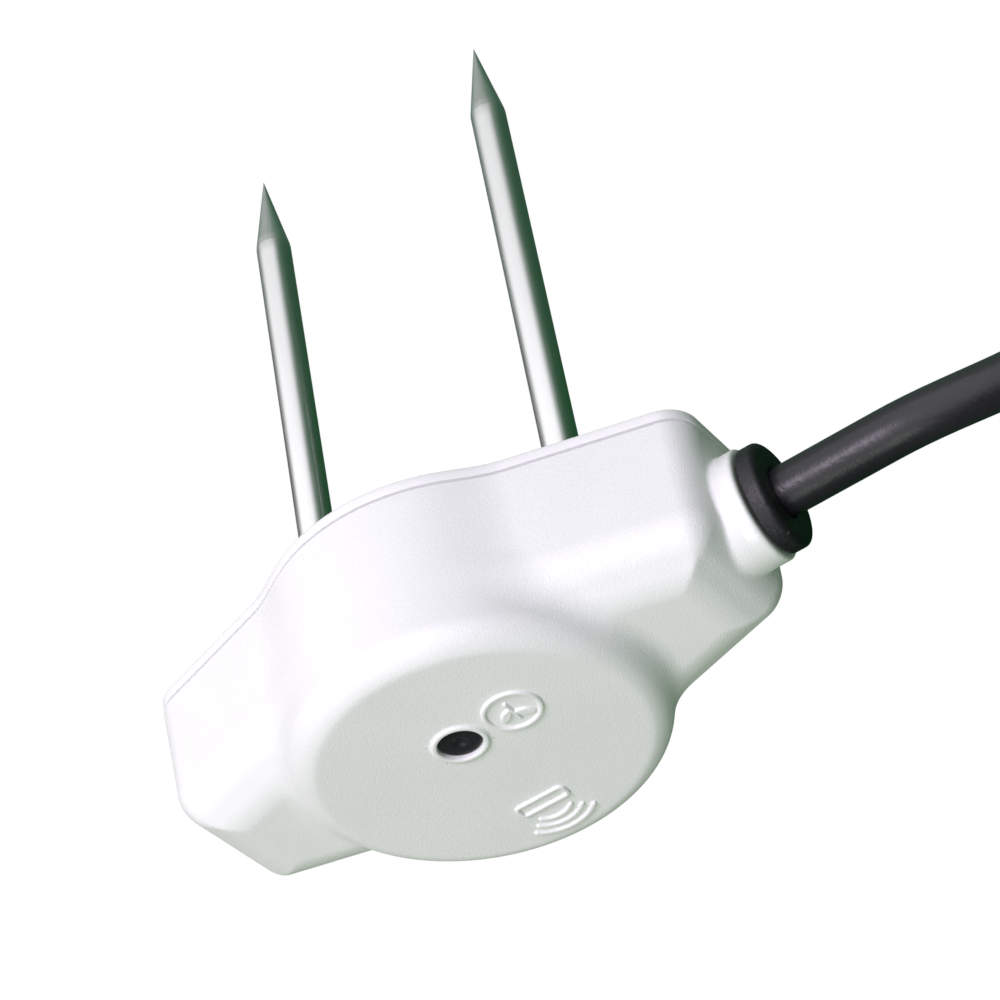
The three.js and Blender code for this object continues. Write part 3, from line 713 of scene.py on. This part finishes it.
def leaf(p, base, tip, half):
    """Distance to a pointed leaf between two points."""
    base, tip = np.array(base, float), np.array(tip, float)
    middle = (base + tip) / 2
    along = (tip - base) / 2
    reach = np.linalg.norm(along)
    r = (reach ** 2 + half ** 2) / (2 * half)
    aside = np.array([-along[1], along[0]]) / reach * (r - half)
    return np.maximum(np.linalg.norm(p - middle - aside, axis=-1),
                      np.linalg.norm(p - middle + aside, axis=-1)) - r


def make_marks():
    """Three arcs, an empty tag outline and a seedling in a ring."""
    def waves(p):
        arcs = [arc_stroke(p, (0, 10.65), r, 0.78, 0.25) for r in (2.55, 3.75, 4.95)]
        return np.minimum.reduce(arcs)

    def tag(p):
        return frame_stroke(p, (0, 10), 2.75, 0.85, 0.5, 0.22)

    def seedling(p):
        x, y = SEAL
        ring = np.abs(np.linalg.norm(p - np.array(SEAL), axis=-1) - SEAL_R) - 0.24
        stem = stroke(p, (x, y - 1.35), (x, y + 1.3), 0.2)
        leaves = [leaf(p, (x + 0.05, y + 0.1), (x + 1.75, y + 1.6), 0.5),
                  leaf(p, (x - 0.05, y - 0.5), (x - 1.75, y + 1.0), 0.5)]
        return np.minimum.reduce([ring, stem, *leaves])

    emboss("mark_waves", waves, (-4.2, 11.9), (4.2, 16.2))
    emboss("mark_tag", tag, (-3.3, 8.7), (3.3, 11.3))
    emboss("mark_seedling", seedling, (SEAL[0] - 3.4, SEAL[1] - 3.4),
           (SEAL[0] + 3.4, SEAL[1] + 3.4))


make_marks()


# ---------------------------------------------------------------- gland
def make_grommet():
    """A flanged rubber sleeve in the gland's mouth."""
    profile = [(3.7, 33.0), (3.7, GROMMET_X0), (GROMMET_R, GROMMET_X0, 0.3),
               (GROMMET_R, 37.1, 0.55), (5.1, GROMMET_X1, 0.3), (2.9, GROMMET_X1, 0.2),
               (2.66, 37.3, 0.1), (2.62, 36.9), (2.62, 34.0)]
    p, f = lathe(rounded(profile, 0.15, 5), 96)
    seal = make_piece("grommet", along_x(p), f, RUBBER, SENSOR)
    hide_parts("cable_grommet")


make_grommet()


# ---------------------------------------------------------------- cable
def on_coil(r, angle, z):
    return np.array([COIL_X + r * math.cos(angle), COIL_Y + r * math.sin(angle), z])


def cable_route():
    """The cable's centreline from inside the gland's mouth to the plug."""
    lay = COIL_Z0 + CABLE_R
    points = [(x, 0, GLAND_Z) for x in np.linspace(LEAD_X0, LEAD_X1, 7)[:-1]]
    joint = on_coil(COIL_RO, COIL_START, 0)
    heading = np.array([-math.sin(COIL_START), math.cos(COIL_START), 0])
    hooks = [np.array([LEAD_X1, 0, 0]), np.array([LEAD_X1 + LEAD_REACH, 0, 0]),
             joint - LEAD_REACH * heading, joint]
    for t in np.linspace(0, 1, 20):
        weights = ((1 - t) ** 3, 3 * t * (1 - t) ** 2, 3 * t * t * (1 - t), t ** 3)
        p = sum(w * h for w, h in zip(weights, hooks))
        p[2] = GLAND_Z + (lay - GLAND_Z) * ease(t)
        points.append(tuple(p))
    wrap = COIL_WRAPS * 2 * math.pi
    steps = int(COIL_WRAPS * STEPS_PER_TURN)
    for layer in range(COIL_LAYERS):
        first, last = (COIL_RO, COIL_INNER) if layer % 2 == 0 else (COIL_INNER, COIL_RO)
        wait = 0 if layer == 0 else HOLD
        for i in range(1, steps + 1):
            turned = wrap * i / steps
            angle = COIL_START + layer * wrap + turned
            r = first + (last - first) * max(turned - wait, 0) / (wrap - wait)
            z = lay + 2 * CABLE_R * layer
            if layer:
                z -= 2 * CABLE_R * (1 - ease(min(turned / HOLD, 1)))
            left = COIL_END - angle
            if left < RISE:
                z += (PLUG_Z - z) * ease(1 - left / RISE)
            points.append(tuple(on_coil(r, angle, z)))
    way = np.array([-math.sin(COIL_END), math.cos(COIL_END), 0])
    for along in (1.5, 3.0, TAIL + 2):
        points.append(tuple(on_coil(COIL_INNER, COIL_END, PLUG_Z) + way * along))
    return np.array(points)


def make_cable():
    """One round cable along the whole route; also its length in metres and its points."""
    route = cable_route()
    data = bpy.data.curves.new("signal_cable", "CURVE")
    data.dimensions = "3D"
    data.bevel_depth = CABLE_R * 0.001
    data.bevel_resolution = 6
    data.use_fill_caps = True
    spline = data.splines.new("POLY")
    spline.points.add(len(route) - 1)
    for point, p in zip(spline.points, row(route)):
        point.co = (*p, 1)
    spline.use_smooth = True
    data.materials.append(SHEATH)
    cable = bpy.data.objects.new("signal_cable", data)
    scene.collection.objects.link(cable)
    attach(cable, SENSOR)
    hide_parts("cable_lead", "cable_coil", "cable_tail")
    length = float(np.linalg.norm(np.diff(route, axis=0), axis=1).sum()) * 0.001
    return cable, length, row(route)


cable, cable_length, cable_points = make_cable()


# ---------------------------------------------------------------- plug and ties
def make_plug():
    """A moulded body with grip rings and a three-pole pin, along the cable's last heading."""
    made = []
    way = np.array([-math.sin(COIL_END), math.cos(COIL_END), 0])
    side = np.array([math.cos(COIL_END), math.sin(COIL_END), 0])
    start = on_coil(COIL_INNER, COIL_END, PLUG_Z) + TAIL * way

    def turn_piece(name, node, profile, material, radius=0.12, sharp=45):
        p, f = lathe(rounded(profile, radius, 3), 64)
        place = start + np.outer(p[:, 2], way) + np.outer(p[:, 1], side)
        place += np.outer(p[:, 0], (0, 0, 1))
        obj = make_piece(name, place, f, material, SENSOR, sharp=sharp)
        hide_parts(node)
        made.append(obj)

    body = [(2.62, 0), (2.9, 0.1), (3.1, 6)]
    for i in range(4):
        z = 6.5 + i * 1.6
        wider = 0.1 * i
        body += [(3.2 + wider, z), (2.95 + wider, z + 0.3), (2.95 + wider, z + 0.8),
                 (3.3 + wider, z + 1.1)]
    body += [(4.2, 14), (4.2, 26, 0.7), (3.6, 27, 0.3), (0, 27)]
    turn_piece("plug_boot", "plug_body", body, PLUG, 0.2)
    collar = [(0, 27.3), (3.4, 27.3), (3.4, 28.5), (1.75, 28.5), (1.75, 34.5), (0, 34.5)]
    turn_piece("plug_collar", "plug_sleeve", collar, GOLD)
    band = [(0, 34.6), (1.7, 34.6), (1.7, 35.5), (0, 35.5)]
    turn_piece("plug_band_1", "plug_spacer_1", band, SPACER, 0.05)
    pole = [(0, 35.6), (1.75, 35.6), (1.75, 37.9), (0, 37.9)]
    turn_piece("plug_pole", "plug_ring", pole, GOLD)
    band = [(0, 38.0), (1.7, 38.0), (1.7, 38.9), (0, 38.9)]
    turn_piece("plug_band_2", "plug_spacer_2", band, SPACER, 0.05)
    point = [(0, 39), (1.75, 39), (1.75, 40), (1.25, 40.8), (1.7, 41.6), (0.5, 43), (0, 43)]
    turn_piece("plug_point", "plug_tip", point, GOLD, 0.3)
    return made


def arc(cx, cy, r, a0, a1, steps):
    return [(cx + r * math.cos(a), cy + r * math.sin(a)) for a in np.linspace(a0, a1, steps)]


def make_ties():
    """Flat straps round the coil's section, each a closed loop with round corners."""
    made = []
    inner = COIL_INNER - CABLE_R - 0.1
    outer = COIL_RO + CABLE_R + 0.1
    mid, half = (inner + outer) / 2, (outer - inner) / 2 + 0.3
    low, high = 0.4, COIL_TOP + 0.7
    for side, angle in TIE_ANGLES:
        centre, tall, r = (low + high) / 2, (high - low) / 2, TIE_CORNER
        line = []
        for sx, sz, a in ((1, 1, 0), (-1, 1, 1), (-1, -1, 2), (1, -1, 3)):
            cx, cz = sx * (half + 0.4 - r), centre + sz * (tall - r)
            line += arc(cx, cz, r, a * math.pi / 2, (a + 1) * math.pi / 2, 9)
        line = np.array(line)
        n = len(line)
        ahead = np.roll(line, -1, 0) - np.roll(line, 1, 0)
        ahead /= np.linalg.norm(ahead, axis=1, keepdims=True)
        out = np.stack([ahead[:, 1], -ahead[:, 0]], 1)
        section = [(-2.4, -0.4), (-2.5, -0.3), (-2.5, 0.3), (-2.4, 0.4),
                   (2.4, 0.4), (2.5, 0.3), (2.5, -0.3), (2.4, -0.4)]
        m = len(section)
        verts, faces = [], []
        ca, sa = math.cos(angle), math.sin(angle)
        for i in range(n):
            for w, t in section:
                u, z = line[i] + out[i] * t
                u += mid
                verts.append((COIL_X + u * ca - w * sa, COIL_Y + u * sa + w * ca, max(z, 0.0)))
        for i in range(n):
            j = (i + 1) % n
            for k in range(m):
                faces.append((i * m + k, i * m + (k + 1) % m, j * m + (k + 1) % m, j * m + k))
        tie = make_piece(f"tie_{side}", np.array(verts), faces, TIE, SENSOR, sharp=50)
        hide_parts(f"coil_tie_{side}")
        made.append(tie)
    return made


on_cable = make_plug() + make_ties()


# ---------------------------------------------------------------- CAD nodes that stay
def kept(names, material):
    """Gives the CAD objects of these names a material of their own."""
    for name in names:
        for obj in bpy.data.objects:
            if obj.name == name and obj.type == "MESH":
                obj.data.materials.clear()
                obj.data.materials.append(material)


def tone(colour, k):
    """The colour made lighter or darker."""
    return tuple(c * k for c in colour)


def simple(name, colour, rough, metal=0.0):
    low, high = tone(colour, 0.86), tone(colour, 1.06)
    return finish_material(name, low, high, rough, 2400.0, 0.00001, metal)


kept(["cover_gasket", "rod_oring_left", "rod_oring_right"], RUBBER)
kept(["rod_contact_left", "rod_contact_right"],
     simple("spring_contact", (0.6, 0.5, 0.28), (0.2, 0.34), metal=1.0))
kept(["rod_washer_left", "rod_washer_right", "rod_nut_left", "rod_nut_right", "cable_clamp"],
     simple("nickel", (0.6, 0.59, 0.56), (0.2, 0.34), metal=1.0))
kept(["main_pcb"], simple("board_green", (0.02, 0.13, 0.05), (0.25, 0.4)))
kept(["shield_can", "clock_crystal"],
     simple("can_metal", (0.6, 0.61, 0.62), (0.25, 0.4), metal=1.0))
kept(["processor_chip"], simple("chip_black", (0.02, 0.02, 0.021), (0.45, 0.6)))
kept(["storage_capacitor"], simple("capacitor_sleeve", (0.03, 0.033, 0.04), (0.2, 0.35)))
kept(["thermistor"], simple("bead_brown", (0.1, 0.05, 0.035), (0.3, 0.5)))
kept(["cable_terminal"], simple("terminal_cream", (0.75, 0.7, 0.58), (0.4, 0.55)))
kept(["nfc_antenna"], simple("antenna_copper", (0.62, 0.3, 0.16), (0.25, 0.4), metal=1.0))
kept(["ferrite_sheet"], simple("ferrite", (0.05, 0.05, 0.053), (0.6, 0.8)))
kept(["switch_plunger"], simple("plunger_red", (0.3, 0.03, 0.02), (0.3, 0.45)))
kept(["switch_body"], simple("switch_black", (0.02, 0.02, 0.022), (0.4, 0.55)))
kept(["cable_stub"], SHEATH)
kept(["core_brown"], simple("core_brown", (0.16, 0.06, 0.025), (0.3, 0.45)))
kept(["core_white"], simple("core_white", (0.8, 0.79, 0.75), (0.3, 0.45)))
kept(["core_black"], simple("core_black", (0.015, 0.015, 0.015), (0.3, 0.45)))


# ---------------------------------------------------------------- floor and light
def make_floor():
    """A plain surface that only the camera sees, and only from above."""
    size = 3.0
    mesh = bpy.data.meshes.new("floor")
    corners = [(-size, -size, 0), (size, -size, 0), (size, size, 0), (-size, size, 0)]
    mesh.from_pydata(corners, [], [(0, 1, 2, 3)])
    floor = bpy.data.objects.new("floor", mesh)
    scene.collection.objects.link(floor)
    mat, tree, shader = new_material("floor")
    shader.inputs["Base Color"].default_value = (0.82, 0.82, 0.82, 1)
    shader.inputs["Roughness"].default_value = 0.9
    clear = tree.nodes.new("ShaderNodeBsdfTransparent")
    mix = tree.nodes.new("ShaderNodeMixShader")
    side = tree.nodes.new("ShaderNodeNewGeometry")
    path = tree.nodes.new("ShaderNodeLightPath")
    front = tree.nodes.new("ShaderNodeMath")
    front.operation = "SUBTRACT"
    front.use_clamp = True
    tree.links.new(path.outputs["Is Camera Ray"], front.inputs[0])
    tree.links.new(side.outputs["Backfacing"], front.inputs[1])
    tree.links.new(front.outputs[0], mix.inputs["Fac"])
    tree.links.new(clear.outputs[0], mix.inputs[1])
    tree.links.new(shader.outputs[0], mix.inputs[2])
    tree.links.new(mix.outputs[0], tree.nodes["Material Output"].inputs["Surface"])
    mesh.materials.append(mat)


def area_light(name, direction, distance, size, power, colour=(1, 1, 1)):
    """A round lamp at that distance in that direction, facing the housing."""
    data = bpy.data.lights.new(name, "AREA")
    data.shape = "DISK"
    data.size = size
    data.energy = power
    data.color = colour
    light = bpy.data.objects.new(name, data)
    scene.collection.objects.link(light)
    aim = Vector(direction).normalized()
    centre = Vector((0, 0, 0.03))
    light.location = centre + aim * distance
    light.rotation_mode = "QUATERNION"
    light.rotation_quaternion = aim.to_track_quat("Z", "Y")
    return light


def blend(tree, kind, factor, a, b):
    """Two colours mixed or multiplied; the factor is a number or a node's output."""
    mix = tree.nodes.new("ShaderNodeMix")
    mix.data_type = "RGBA"
    mix.blend_type = kind
    if isinstance(factor, (int, float)):
        mix.inputs["Factor"].default_value = factor
    else:
        tree.links.new(factor, mix.inputs["Factor"])
    tree.links.new(a, mix.inputs["A"])
    tree.links.new(b, mix.inputs["B"])
    return mix.outputs["Result"]


def sky(tree):
    """What reflections see, and the soft fill that everything else gets. Reflections see a broad
    white card on the near side, green foliage on the right, and a dim grey-green overhead."""
    coord = tree.nodes.new("ShaderNodeTexCoord")

    def flat(degrees):
        return (math.cos(math.radians(degrees)), math.sin(math.radians(degrees)), 0)

    def toward(heading):
        dot = tree.nodes.new("ShaderNodeVectorMath")
        dot.operation = "DOT_PRODUCT"
        dot.inputs[1].default_value = heading
        tree.links.new(coord.outputs["Generated"], dot.inputs[0])
        return dot.outputs["Value"]

    card = ramp(tree, toward(flat(-103)), [(0.0, (0.10, 0.105, 0.11)), (0.34, (0.2, 0.21, 0.21)),
                                           (0.58, (2.1, 2.07, 2.15))])
    green = ramp(tree, toward(flat(40)), [(0.1, (1, 1, 1)), (0.4, (0.11, 0.8, 0.24))])
    high = ramp(tree, span(tree, toward(flat(70)), 0, 1, -0.5, 0.5),
                [(0.04, (0.5, 0.55, 0.51)), (0.17, (0.34, 0.4, 0.36)), (0.5, (0.15, 0.28, 0.19)),
                 (0.95, (0.07, 0.15, 0.1))])
    up = span(tree, toward((0, 0, 1)), 0, 1, 0.67, 0.74)
    back = tree.nodes.new("ShaderNodeBackground")
    tree.links.new(blend(tree, "MIX", up, blend(tree, "MULTIPLY", 1, card, green), high),
                   back.inputs["Color"])
    left, right = (0.40, 0.435, 0.37), (0.13, 0.21, 0.15)
    fill = tree.nodes.new("ShaderNodeBackground")
    tree.links.new(ramp(tree, toward(flat(20)), [(0.0, left), (0.7, right)]), fill.inputs["Color"])
    return back.outputs[0], fill.outputs[0]


def make_light():
    """A white background for the camera, the sky for everything else, and three lamps."""
    scene.view_settings.view_transform = "Standard"
    scene.view_settings.look = "None"
    world = bpy.data.worlds.new("world")
    scene.world = world
    world.use_nodes = True
    tree = world.node_tree
    mirrored, fill = sky(tree)
    seen = tree.nodes["Background"]
    seen.inputs["Color"].default_value = (1, 1, 1, 1)
    path = tree.nodes.new("ShaderNodeLightPath")
    glossy = tree.nodes.new("ShaderNodeMixShader")
    tree.links.new(path.outputs["Is Glossy Ray"], glossy.inputs["Fac"])
    tree.links.new(fill, glossy.inputs[1])
    tree.links.new(mirrored, glossy.inputs[2])
    mix = tree.nodes.new("ShaderNodeMixShader")
    tree.links.new(path.outputs["Is Camera Ray"], mix.inputs["Fac"])
    tree.links.new(glossy.outputs[0], mix.inputs[1])
    tree.links.new(seen.outputs[0], mix.inputs[2])
    tree.links.new(mix.outputs[0], tree.nodes["World Output"].inputs["Surface"])
    area_light("key", (-0.05, -0.926, -0.375), 0.8, 0.35, power=4.8, colour=(1.0, 0.87, 1.1))
    area_light("under", (-0.35, -0.15, -0.92), 0.8, 0.4, power=1.5, colour=(0.99, 1.03, 0.95))
    top = area_light("top", (-0.25, -0.3, 0.9), 0.9, 0.6, power=2.4)
    top.visible_glossy = False


make_floor()
make_light()
